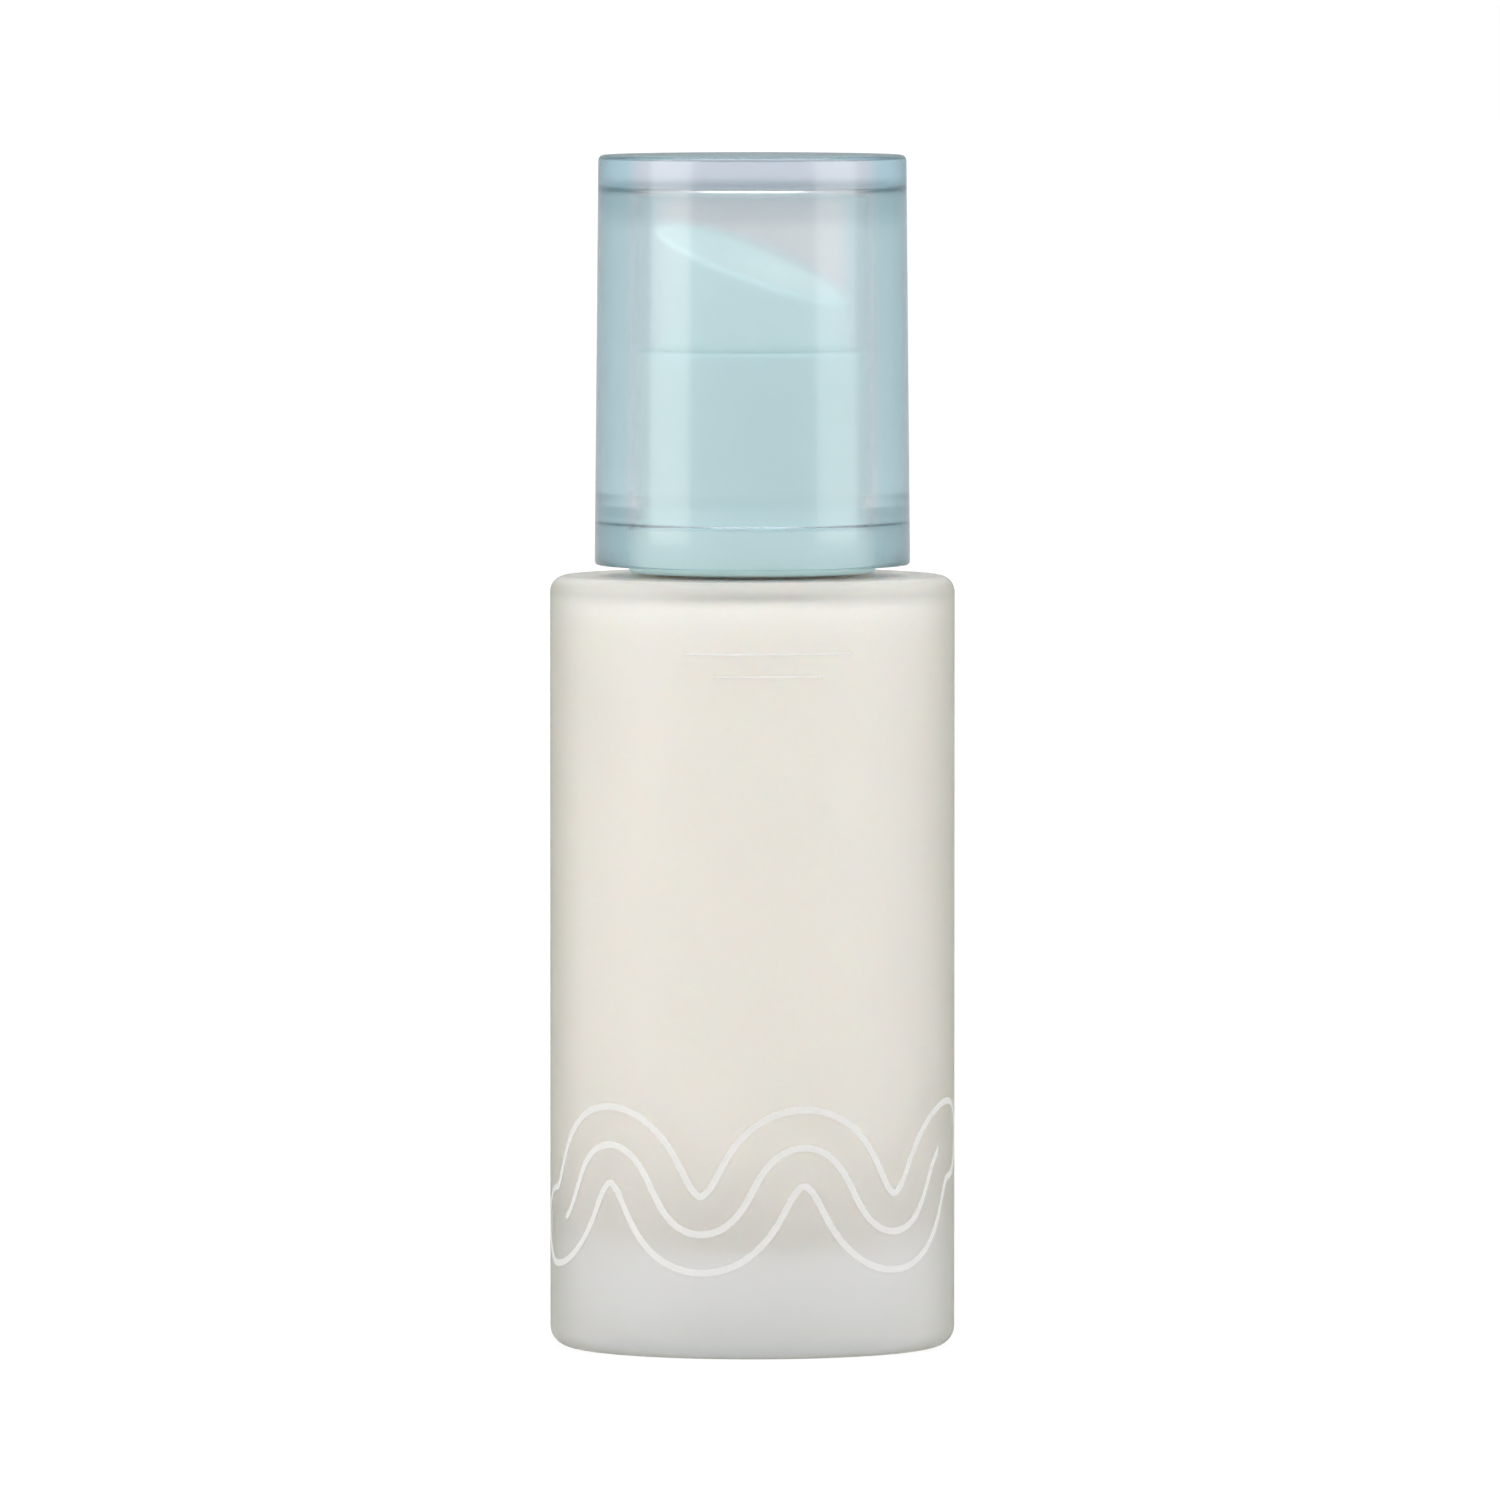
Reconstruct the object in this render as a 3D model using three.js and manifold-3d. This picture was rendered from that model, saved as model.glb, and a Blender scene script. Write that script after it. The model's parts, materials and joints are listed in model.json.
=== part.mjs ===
// A 30 ml foundation bottle: a frosted glass bottle whose treatment pump screws onto the neck,
// with a slant-topped push button, and a thick clear overcap that lifts off.
// Millimetres, +Z up. The origin is the centre of the circle that the bottle stands on; -Y is the front.
import * as THREE from "three";
import { mergeVertices } from "three/addons/utils/BufferGeometryUtils.js";
import Module from "manifold-3d";

const wasm = await Module();
wasm.setup();

// ---- Driving dimensions ----
const bodyRadius = 17; // outside of the glass body
const shoulderHeight = 64.8; // flat top of the glass body
const overallHeight = 100.1; // top of the overcap
const glassWall = 2.6; // side wall of the glass body
const glassBase = 8.4; // thickness of the heavy glass base
const neckRadius = 6.55; // outside of the neck, between its threads
const neckBore = 4.7; // inside of the neck
const neckHeight = 11.7; // neck above the shoulder
const threadPitch = 3.175; // eight threads to the inch
const threadTurns = 1.5;
const fit = 0.1; // running and assembly gap between neighbouring pieces
const stroke = 3.5; // travel of the push button
const pistonSlip = 0.6; // lost motion of the piston on its rod, which opens the outlet
const ballLift = 0.8; // travel of the inlet ball
const nozzleBearing = 155; // compass angle of the nozzle about +Z, from +X, in degrees
const crownSlope = 0.425; // rise over run of the button's slanted top, up towards the nozzle

// ---- Heights that follow from them ----
const neckTop = shoulderHeight + neckHeight;
const threadStart = neckTop - 7.1; // where the neck's thread begins, on the +X side
const collarFoot = shoulderHeight + 0.25;
const gasketTop = neckTop + 0.85;
const flangeTop = gasketTop + 0.95;
const closureTop = flangeTop + 1.1;
const collarTop = closureTop + stroke + 0.8; // the pressed button's skirt stays clear of the closure
const capFoot = shoulderHeight + 0.9;
const crownHeight = collarTop + 7.55; // the slanted top, on the axis
const nozzleHeight = collarTop + 5.1;

const bodySides = 40;
const smallSides = 24;

// ---- Materials ----
function finish(color, roughness, metalness = 0, opacity = 1) {
  const transparent = opacity < 1;
  return new THREE.MeshStandardMaterial({ color, roughness, metalness, opacity, transparent });
}

const frostedGlass = finish(0xdfe0da, 0.55, 0, 0.5);
const creamFluid = finish(0xeadfd2, 0.35);
const clearAqua = finish(0xb4d6dc, 0.12, 0, 0.4);
const aquaPlastic = finish(0xa9d3d3, 0.3);
const naturalPlastic = finish(0xeef1f0, 0.45);
const softPlastic = finish(0xf4f4f1, 0.6);
const springSteel = finish(0xb9bcc0, 0.3, 1);

// ---- Shape helpers ----
const degrees = Math.PI / 180;

// Points of a round stretch of an outline, as [radius, height] pairs.
function arc(centreRadius, centreHeight, size, from, to, steps = 3) {
  const at = (i) => (from + ((to - from) * i) / steps) * degrees;
  const point = (i) => [centreRadius + size * Math.cos(at(i)), centreHeight + size * Math.sin(at(i))];
  return Array.from({ length: steps + 1 }, (_, i) => point(i));
}

// An outline that starts and ends on the axis, turned about +Z.
function turned(outline, sides = smallSides) {
  const points = outline.map(([radius, height]) => new THREE.Vector2(radius, height));
  return new THREE.LatheGeometry(points, sides).rotateX(Math.PI / 2);
}

// An outline that closes on itself, clear of the axis, turned about +Z.
function turnedRing(outline, sides = smallSides) {
  return turned([...outline, outline[0]], sides);
}

// A plain tube or washer standing on its lower height.
function tube(inner, outer, low, high, sides = smallSides) {
  return turnedRing([[inner, low], [outer, low], [outer, high], [inner, high]], sides);
}

// A plain round rod along +Z.
function rod(radius, low, high, sides = smallSides) {
  return turned([[0, low], [radius, low], [radius, high], [0, high]], sides);
}

function solid(geometry) {
  const bare = geometry.clone();
  bare.deleteAttribute("normal");
  bare.deleteAttribute("uv");
  const merged = mergeVertices(bare, 1e-4);
  const vertProperties = merged.attributes.position.array;
  const triVerts = new Uint32Array(merged.index.array);
  return new wasm.Manifold(new wasm.Mesh({ numProp: 3, vertProperties, triVerts }));
}

function geometryOf(body) {
  const { vertProperties, triVerts } = body.getMesh();
  const geometry = new THREE.BufferGeometry();
  geometry.setAttribute("position", new THREE.BufferAttribute(vertProperties, 3));
  geometry.setIndex(new THREE.BufferAttribute(triVerts, 1));
  return geometry;
}

// A straight bar wound round +Z into a right-handed ridge. The section's points are [height, radius].
// Its ends sink back to the wall radius over a short run-out.
function windingRidge(section, wallRadius, startHeight, startTurn, turns) {
  const stepsPerTurn = 36;
  const runOut = 0.12;
  const shape = new THREE.Shape(section.map(([height, radius]) => new THREE.Vector2(height, radius)));
  const steps = Math.round(turns * stepsPerTurn);
  const bar = new THREE.ExtrudeGeometry(shape, { depth: turns, steps, bevelEnabled: false });
  const place = bar.attributes.position;
  for (let i = 0; i < place.count; i++) {
    const turn = place.getZ(i);
    const grown = Math.min(1, 0.05 + turn / runOut, 0.05 + (turns - turn) / runOut);
    const radius = wallRadius + (place.getY(i) - wallRadius) * grown;
    const angle = (startTurn + turn) * 2 * Math.PI;
    const height = startHeight + place.getX(i) + threadPitch * turn;
    place.setXYZ(i, radius * Math.cos(angle), radius * Math.sin(angle), height);
  }
  return bar;
}

function piece(name, geometry, material) {
  const mesh = new THREE.Mesh(geometry, material);
  mesh.name = name;
  return mesh;
}

// ---- Glass bottle and what it holds ----
const cavityRadius = bodyRadius - glassWall;
const cavityTop = shoulderHeight - 1.5;
const heelRound = 8.5; // the round where the cavity's wall meets its floor
const shoulderRound = 1.8; // the round where the cavity's wall meets its ceiling

function glassBottle() {
  const heel = 1.6;
  const shoulderEdge = 1.3;
  const lip = 0.5;
  const pushUp = 0.7; // hollow under the base
  const outline = [
    [0, pushUp],
    [10.6, pushUp * 0.8],
    [12.2, 0],
    ...arc(bodyRadius - heel, heel, heel, -90, 0),
    ...arc(bodyRadius - shoulderEdge, shoulderHeight - shoulderEdge, shoulderEdge, 0, 90),
    [neckRadius + 0.7, shoulderHeight],
    [neckRadius, shoulderHeight + 0.7],
    [neckRadius, neckTop - lip],
    [neckRadius - lip, neckTop],
    [neckBore + 0.3, neckTop],
    [neckBore, neckTop - 0.3],
    [neckBore, cavityTop + 0.8],
    [neckBore + 0.8, cavityTop],
    ...arc(cavityRadius - shoulderRound, cavityTop - shoulderRound, shoulderRound, 90, 0),
    ...arc(cavityRadius - heelRound, glassBase + heelRound, heelRound, 0, -90, 6),
    [0, glassBase],
  ];
  const section = [[-1, neckRadius - 0.35], [1, neckRadius - 0.35], [0.5, 7.25], [-0.5, 7.25]];
  const thread = windingRidge(section, neckRadius - 0.2, threadStart, 0, threadTurns);
  return geometryOf(solid(turned(outline, bodySides)).add(solid(thread)));
}

// The fluid stands in the cavity with the pump's housing and dip tube hanging in it.
function foundationFill() {
  const shoulderCentre = [cavityRadius - shoulderRound, cavityTop - shoulderRound];
  const shoulder = arc(...shoulderCentre, shoulderRound - fit, 0, 60);
  const surface = shoulder.at(-1)[1];
  const tubeHole = 1.45 + 3 * fit;
  const outline = [
    [0, glassBase + fit],
    ...arc(cavityRadius - heelRound, glassBase + heelRound, heelRound - fit, -90, 0, 6),
    ...shoulder,
    [4.7, surface],
    [4.7, 60.2],
    [2.8, 56.1],
    [2.8, 47.6],
    [tubeHole, 47.6],
    [tubeHole, glassBase + 1],
    [0, glassBase + 1],
  ];
  return turned(outline, bodySides);
}

// ---- Pump engine ----
const barrelBore = 3.3;
const stemRadius = 1.85;
const stemBore = 1;
const guideFoot = neckTop - 2.7; // underside of the stem guide's plug
const pistonTop = guideFoot - 1.4;
const pistonFoot = pistonTop - 2.5;
const springSeat = 60.7;
const ballRadius = 1.25;
const seatHole = 0.9;
const seatHeight = 57.35;
const dipTubeTop = 55.4;

function neckGasket() {
  return tube(neckBore + 0.1, neckRadius - 0.1, neckTop + 0.05, gasketTop - 0.05, bodySides);
}

function pumpHousing() {
  const barrel = 4.3;
  const spigot = 2.4;
  return turnedRing([
    [1.55, 48],
    [spigot, 48],
    [spigot, 56.3],
    [barrel, 60.4],
    [barrel, gasketTop],
    [6.4, gasketTop],
    [6.4, flangeTop],
    [barrelBore, flangeTop],
    [barrelBore, springSeat - 1.5],
    [2.05, springSeat - 1.5],
    [2.05, seatHeight + 1.15],
    [seatHole, seatHeight],
    [seatHole, dipTubeTop + 0.1],
    [1.55, dipTubeTop + 0.1],
  ]);
}

// Pressed into the foot of the housing: its lip limits the ball's lift, and its top carries the spring.
function ballCage() {
  const ceiling = seatHeight + Math.sqrt(ballRadius ** 2 - seatHole ** 2) + ballRadius + ballLift + 0.08;
  return turnedRing([
    [1.75, springSeat - 1.45],
    [barrelBore - fit, springSeat - 1.45],
    [barrelBore - fit, springSeat],
    [1, springSeat],
    [1, ceiling],
    [1.75, ceiling],
  ]);
}

function inletBall() {
  const rest = seatHeight + Math.sqrt(ballRadius ** 2 - seatHole ** 2) + 0.04;
  return new THREE.SphereGeometry(ballRadius, 16, 10).rotateX(Math.PI / 2).translate(0, 0, rest);
}

function returnSpring() {
  const wire = 0.27;
  const coil = 2.4;
  const low = springSeat + 0.05 + wire;
  const high = pistonFoot - 1 - 0.05 - wire;
  const turns = 6.5;
  const closedPitch = 0.62; // the end turns lie almost against each other
  const openPitch = (high - low - 2 * closedPitch) / (turns - 2);
  const rise = (turn) => {
    if (turn < 1) return closedPitch * turn;
    if (turn > turns - 1) return high - low - closedPitch * (turns - turn);
    return closedPitch + openPitch * (turn - 1);
  };
  class Coil extends THREE.Curve {
    getPoint(t, target = new THREE.Vector3()) {
      const turn = t * turns;
      const angle = turn * 2 * Math.PI;
      return target.set(coil * Math.cos(angle), coil * Math.sin(angle), low + rise(turn));
    }
  }
  const section = new THREE.Shape().absarc(0, 0, wire, 0, 2 * Math.PI);
  return new THREE.ExtrudeGeometry(section, { extrudePath: new Coil(), steps: 78, curveSegments: 4 });
}

// A soft cup with a flared lip above and below, sliding on the stem between the rod and a shoulder.
function piston() {
  const lip = barrelBore - 0.06;
  const bore = stemRadius + fit;
  return turnedRing([
    [bore, pistonFoot + 0.3],
    [2.5, pistonFoot],
    [2.9, pistonFoot],
    [lip, pistonFoot + 0.1],
    [2.85, pistonFoot + 0.8],
    [2.85, pistonTop - 0.8],
    [lip, pistonTop - 0.1],
    [2.9, pistonTop],
    [bore, pistonTop],
  ]);
}

// Its head seals the piston from below, and its slotted shank plugs into the stem.
function valveRod() {
  const head = 2.75;
  const headTop = pistonFoot - 0.05;
  const shank = turned([
    [0, pistonFoot - 2.4],
    [1.2, pistonFoot - 2.4],
    [1.6, pistonFoot - 1],
    [head, pistonFoot - 1],
    [head, headTop - 0.3],
    [head - 0.3, headTop],
    [stemBore - 0.08, headTop],
    [stemBore - 0.08, pistonTop - 0.4],
    [0, pistonTop - 0.4],
  ]);
  const slot = new THREE.BoxGeometry(0.5, 3, 3).translate(0, 0, headTop + 1.7);
  return geometryOf(solid(shank).subtract(solid(slot)));
}

function pumpStem() {
  const shoulder = 2.55;
  const shoulderFoot = pistonTop + pistonSlip + 0.05;
  const stemTop = nozzleHeight - 0.8;
  const outline = [
    [stemBore, pistonFoot + 0.1],
    [stemRadius, pistonFoot + 0.1],
    [stemRadius, shoulderFoot],
    [shoulder, shoulderFoot],
    [shoulder, shoulderFoot + 0.6],
    [stemRadius, shoulderFoot + 0.6],
    [stemRadius, stemTop - 0.3],
    [stemRadius - 0.3, stemTop],
    [stemBore, stemTop],
  ];
  return turnedRing(outline);
}

// Snaps into the top of the housing and guides the stem.
function stemGuide() {
  const bore = stemRadius + fit;
  const plug = barrelBore - fit;
  const flange = 3.9;
  return turnedRing([
    [bore, guideFoot],
    [plug - 0.3, guideFoot],
    [plug, guideFoot + 0.3],
    [plug, flangeTop + 0.05],
    [flange, flangeTop + 0.05],
    [flange, closureTop - 0.1],
    [flange - 0.3, closureTop + 0.2],
    [bore, closureTop + 0.2],
  ]);
}

function dipTube() {
  const tubeEnd = glassBase + 1.3;
  const whole = solid(tube(1, 1.45, tubeEnd, dipTubeTop));
  const slant = new THREE.BoxGeometry(8, 8, 6).translate(0, 0, -3).rotateY(-40 * degrees);
  return geometryOf(whole.subtract(solid(slant.translate(0, 0, tubeEnd + 1.3))));
}

// ---- Closure and collar ----
const closureRadius = 8.85;
const skirtBore = 7.5;

function screwClosure() {
  const outline = [
    [skirtBore, collarFoot + 0.1],
    [closureRadius - 0.3, collarFoot + 0.1],
    [closureRadius, collarFoot + 0.4],
    [closureRadius, closureTop - 0.5],
    [closureRadius - 0.5, closureTop],
    [4.1, closureTop],
    [4.1, flangeTop + 0.1],
    [skirtBore, flangeTop + 0.1],
  ];
  const section = [[-0.95, skirtBore + 0.3], [-0.4, 6.8], [0.4, 6.8], [0.95, skirtBore + 0.3]];
  const thread = windingRidge(section, skirtBore + 0.25, threadStart - threadPitch / 2, 0, 1.25);
  return geometryOf(solid(turnedRing(outline, bodySides)).add(solid(thread)));
}

const sleeveRadius = 9.7;
const footRadius = 10.35;
const footTop = shoulderHeight + 4.2;
const buttonRadius = 8.2;

// The coloured sleeve hides the closure, forms the well that the button sinks into and stops the cap.
function collarSleeve() {
  const inside = closureRadius + fit;
  const mouth = buttonRadius + 0.25;
  return turnedRing([
    [inside, collarFoot],
    [footRadius - 0.3, collarFoot],
    [footRadius, collarFoot + 0.3],
    [footRadius, footTop - 0.3],
    [footRadius - 0.3, footTop],
    [sleeveRadius, footTop],
    ...arc(sleeveRadius - 0.4, collarTop - 0.4, 0.4, 0, 90, 2),
    [mouth, collarTop],
    [mouth, collarTop - 0.8],
    [inside, collarTop - 1.2],
  ], bodySides);
}

// ---- Push button, drawn with its nozzle towards +X ----
const buttonFoot = collarTop - 0.6;
const buttonWall = 1;
const crownThickness = 1.3;
const crownTilt = Math.atan(crownSlope);

// Everything above a plane parallel to the slanted top, which crosses the axis at the given height.
function aboveSlant(height) {
  const block = new THREE.BoxGeometry(40, 40, 20).translate(0, 0, 10);
  return solid(block.rotateY(-crownTilt).translate(0, 0, height));
}

// A round bar along +X at the nozzle's height.
function crossBar(radius, from, to, sides = 16) {
  const bar = new THREE.CylinderGeometry(radius, radius, to - from, sides);
  return solid(bar.rotateZ(-Math.PI / 2).translate((from + to) / 2, 0, nozzleHeight));
}

function buttonShell() {
  const highest = crownHeight + 5;
  const outside = solid(rod(buttonRadius, buttonFoot, highest, bodySides));
  const inside = solid(rod(buttonRadius - buttonWall, buttonFoot - 1, highest, bodySides));
  const hollow = inside.subtract(aboveSlant(crownHeight - crownThickness));
  const shell = outside.subtract(aboveSlant(crownHeight)).subtract(hollow);
  return geometryOf(shell.subtract(crossBar(1.55, 5, 10)));
}

// The carrier inside the button: a socket on the stem, ribs to the shell and a channel to the nozzle.
function buttonCore() {
  const boss = 2.9;
  const ribRadius = buttonRadius - buttonWall - fit;
  const ribHeight = 2.6;
  let core = solid(rod(boss, buttonFoot + 0.3, nozzleHeight + 1.6));
  for (const turn of [0, 90]) {
    const rib = new THREE.BoxGeometry(2 * ribRadius - 0.1, 1, ribHeight).translate(0, 0, ribHeight / 2);
    core = core.add(solid(rib.rotateZ((turn + 45) * degrees).translate(0, 0, buttonFoot + 0.6)));
  }
  core = core.add(crossBar(1.05, 0, 6.3)).subtract(aboveSlant(crownHeight - crownThickness - 0.15));
  core = core.subtract(solid(rod(stemRadius + fit, buttonFoot - 1, nozzleHeight - 0.7)));
  core = core.subtract(solid(rod(0.7, nozzleHeight - 1, nozzleHeight + 0.3)));
  return geometryOf(core.subtract(crossBar(0.55, 0, 7, 12)));
}

function nozzleInsert() {
  const reach = buttonRadius + 0.5;
  const bored = crossBar(1.45, 6.4, reach).subtract(crossBar(0.6, 6, reach + 1, 12));
  return geometryOf(bored);
}

// ---- Overcap ----
function overcap() {
  const footOutside = 13.25;
  const topOutside = 12.93;
  const bore = sleeveRadius + 0.35;
  const seat = footRadius + 0.25;
  const step = footTop + 0.2;
  const ceiling = overallHeight - 2.75;
  const bead = 0.22; // snap bead above the step
  return turned([
    [0, ceiling],
    [bore - 0.9, ceiling],
    [bore - 0.15, ceiling - 0.75],
    [bore, step + 2.4],
    [bore - bead, step + 1.8],
    [bore - bead, step + 1.2],
    [bore, step + 0.6],
    [bore, step],
    [seat, step],
    [seat + 0.05, capFoot + 0.2],
    [seat + 0.25, capFoot],
    [footOutside - 0.25, capFoot],
    [footOutside, capFoot + 0.25],
    ...arc(topOutside - 0.4, overallHeight - 0.4, 0.4, 0, 90, 2),
    [0, overallHeight],
  ], bodySides);
}

// ---- Assembly ----
const bottle = new THREE.Group();
bottle.add(
  piece("glass_bottle", glassBottle(), frostedGlass),
  piece("foundation_fill", foundationFill(), creamFluid),
);

const pump = new THREE.Group();
pump.add(
  piece("neck_gasket", neckGasket(), softPlastic),
  piece("pump_housing", pumpHousing(), naturalPlastic),
  piece("ball_cage", ballCage(), naturalPlastic),
  piece("inlet_ball", inletBall(), springSteel),
  piece("return_spring", returnSpring(), springSteel),
  piece("piston", piston(), softPlastic),
  piece("valve_rod", valveRod(), naturalPlastic),
  piece("pump_stem", pumpStem(), naturalPlastic),
  piece("stem_guide", stemGuide(), naturalPlastic),
  piece("dip_tube", dipTube(), naturalPlastic),
  piece("screw_closure", screwClosure(), naturalPlastic),
  piece("collar_sleeve", collarSleeve(), aquaPlastic),
);

const button = new THREE.Group();
button.rotation.z = nozzleBearing * degrees;
button.add(
  piece("button_shell", buttonShell(), aquaPlastic),
  piece("button_core", buttonCore(), naturalPlastic),
  piece("nozzle_insert", nozzleInsert(), naturalPlastic),
);

const foundationBottle = new THREE.Group();
foundationBottle.add(bottle, pump, button, piece("overcap", overcap(), clearAqua));

export default foundationBottle;
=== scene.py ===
import json
import math

import bmesh
import bpy
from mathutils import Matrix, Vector

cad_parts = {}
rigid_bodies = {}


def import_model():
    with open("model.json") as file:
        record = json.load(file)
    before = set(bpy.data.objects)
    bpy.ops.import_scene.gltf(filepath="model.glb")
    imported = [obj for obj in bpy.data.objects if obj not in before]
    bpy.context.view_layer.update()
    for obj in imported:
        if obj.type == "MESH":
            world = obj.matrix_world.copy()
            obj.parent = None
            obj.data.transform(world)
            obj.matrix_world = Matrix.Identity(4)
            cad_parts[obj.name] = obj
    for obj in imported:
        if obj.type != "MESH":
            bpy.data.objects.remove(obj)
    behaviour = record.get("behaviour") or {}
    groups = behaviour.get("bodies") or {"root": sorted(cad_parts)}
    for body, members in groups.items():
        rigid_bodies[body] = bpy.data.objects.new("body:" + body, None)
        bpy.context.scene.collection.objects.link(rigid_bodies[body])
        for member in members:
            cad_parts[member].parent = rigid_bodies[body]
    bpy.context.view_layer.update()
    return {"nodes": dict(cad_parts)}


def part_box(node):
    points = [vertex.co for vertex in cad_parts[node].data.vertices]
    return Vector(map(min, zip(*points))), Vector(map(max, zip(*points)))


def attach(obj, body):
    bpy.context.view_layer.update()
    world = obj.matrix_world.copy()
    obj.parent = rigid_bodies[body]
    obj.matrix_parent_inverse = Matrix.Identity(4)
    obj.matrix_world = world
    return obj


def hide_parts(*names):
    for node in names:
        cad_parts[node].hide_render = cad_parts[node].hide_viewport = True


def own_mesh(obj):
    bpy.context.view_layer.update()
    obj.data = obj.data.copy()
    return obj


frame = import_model()
print("frame loaded:", len(frame["nodes"]), "nodes")

mm = 0.001
scene = bpy.context.scene


# places taken from the frame, in millimetres
def lowOf(node):
    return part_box(node)[0].z / mm


def highOf(node):
    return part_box(node)[1].z / mm


def radiusOf(node):
    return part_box(node)[1].x / mm


def roundedOutline(corners, closed):
    # a corner is (radius, height), (radius, height, round) or (radius, height, round, slant)
    corners = [tuple(c) + (0.0,) * (4 - len(c)) for c in corners]
    count = len(corners)
    outline = []
    for i, (r, z, size, slant) in enumerate(corners):
        atEnd = not closed and i in (0, count - 1)
        if size <= 0 or atEnd:
            outline.append((r, z, slant))
            continue
        here = Vector((r, z))
        before = Vector(corners[i - 1][:2]) - here
        after = Vector(corners[(i + 1) % count][:2]) - here
        halfAngle = before.angle(after) / 2
        reach = size / math.tan(halfAngle)
        start = here + before.normalized() * reach
        end = here + after.normalized() * reach
        weight = math.sin(halfAngle)
        steps = max(3, min(12, round(size * 6)))
        for k in range(steps + 1):
            u = k / steps
            a, b, c = (1 - u) ** 2, 2 * u * (1 - u) * weight, u * u
            point = (start * a + here * b + end * c) / (a + b + c)
            outline.append((point.x, point.y, slant))
    return outline


def turnedPiece(name, corners, sides=144, closed=False, relief=None, fineStep=None, lean=None):
    # relief(angle, radius, height) adds to the radius
    # lean(angle, radius) adds to the height where a corner slants
    outline = roundedOutline(corners, closed)
    if fineStep:
        finer = []
        pairs = zip(outline, outline[1:] + outline[:1]) if closed else zip(outline, outline[1:])
        for p, q in pairs:
            cuts = max(1, math.ceil(math.dist(p[:2], q[:2]) / fineStep))
            finer += [tuple(a + (b - a) * k / cuts for a, b in zip(p, q)) for k in range(cuts)]
        outline = finer if closed else finer + [outline[-1]]
    vertices = []
    rings = []
    for r, z, slant in outline:
        onAxis = r < 1e-6
        ring = []
        for k in range(1 if onAxis else sides):
            angle = 2 * math.pi * k / sides
            radius = r + (relief(angle, r, z) if relief and not onAxis else 0)
            height = z + (slant * lean(angle, radius) if lean else 0)
            ring.append(len(vertices))
            vertices.append((radius * math.cos(angle) * mm, radius * math.sin(angle) * mm, height * mm))
        rings.append(ring)
    faces = []
    ringPairs = list(zip(rings, rings[1:])) + ([(rings[-1], rings[0])] if closed else [])
    for lower, upper in ringPairs:
        if len(lower) == 1 and len(upper) == 1:
            continue
        for k in range(sides):
            n = (k + 1) % sides
            if len(lower) == 1:
                faces.append((lower[0], upper[n], upper[k]))
            elif len(upper) == 1:
                faces.append((lower[k], lower[n], upper[0]))
            else:
                faces.append((lower[k], lower[n], upper[n], upper[k]))
    return meshPiece(name, vertices, faces)


def meshPiece(name, vertices, faces, sharpAngle=35):
    mesh = bpy.data.meshes.new(name)
    mesh.from_pydata(vertices, [], faces)
    mesh.validate()
    piece = bpy.data.objects.new(name, mesh)
    scene.collection.objects.link(piece)
    facesOutward(mesh)
    smoothShade(mesh, sharpAngle)
    return piece


def facesOutward(mesh):
    work = bmesh.new()
    work.from_mesh(mesh)
    bmesh.ops.recalc_face_normals(work, faces=work.faces)
    work.to_mesh(mesh)
    work.free()


def smoothShade(mesh, sharpAngle=35):
    mesh.shade_smooth()
    mesh.set_sharp_from_angle(angle=math.radians(sharpAngle))


def cutFrom(piece, cutter):
    cut = piece.modifiers.new("cut", "BOOLEAN")
    cut.operation = "DIFFERENCE"
    cut.solver = "EXACT"
    cut.object = cutter
    ready = bpy.context.evaluated_depsgraph_get()
    mesh = bpy.data.meshes.new_from_object(piece.evaluated_get(ready))
    piece.modifiers.remove(cut)
    piece.data = mesh
    bpy.data.objects.remove(cutter)
    smoothShade(mesh)


def screwRidge(wall, height, flat, foot, start, turns, pitch, runOut=0.12, inward=False):
    # a right-handed ridge round a wall; height and widths in mm, foot and flat are half widths
    def relief(angle, radius, level):
        if abs(radius - wall) > 0.02:
            return 0.0
        turn = angle / (2 * math.pi)
        tallest = 0.0
        for whole in range(math.ceil(turns) + 1):
            along = turn + whole
            if along > turns:
                break
            off = abs(level - start - pitch * along)
            share = min(1.0, max(0.0, (foot - off) / (foot - flat)))
            ends = min(1.0, along / runOut, (turns - along) / runOut)
            tallest = max(tallest, height * share * share * (3 - 2 * share) * max(0.0, ends))
        return -tallest if inward else tallest
    return relief


def node(tree, kind, **values):
    made = tree.nodes.new(kind)
    for key, value in values.items():
        if hasattr(made, key):
            setattr(made, key, value)
        else:
            made.inputs[key].default_value = value
    return made


def setInput(shader, name, value):
    shader.inputs[name].default_value = value


def startGroup(name, inputs, outputs):
    tree = bpy.data.node_groups.new(name, "ShaderNodeTree")
    for title, value in inputs.items():
        socket = tree.interface.new_socket(title, in_out="INPUT", socket_type="NodeSocketFloat")
        socket.default_value = value
    for title in outputs:
        tree.interface.new_socket(title, in_out="OUTPUT", socket_type="NodeSocketFloat")
    return tree, tree.nodes.new("NodeGroupInput"), tree.nodes.new("NodeGroupOutput")


def mapRange(tree, source, low, high, toLow=0.0, toHigh=1.0):
    made = tree.nodes.new("ShaderNodeMapRange")
    made.interpolation_type = "SMOOTHSTEP"
    for title, value in (("From Min", low), ("From Max", high), ("To Min", toLow), ("To Max", toHigh)):
        made.inputs[title].default_value = value
    tree.links.new(source, made.inputs["Value"])
    return made.outputs["Result"]


def maths(tree, operation, a, b=None):
    made = tree.nodes.new("ShaderNodeMath")
    made.operation = operation
    for socket, value in zip(made.inputs, (a, b)):
        if value is None:
            continue
        if isinstance(value, (int, float)):
            socket.default_value = value
        else:
            tree.links.new(value, socket)
    return made.outputs[0]


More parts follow.
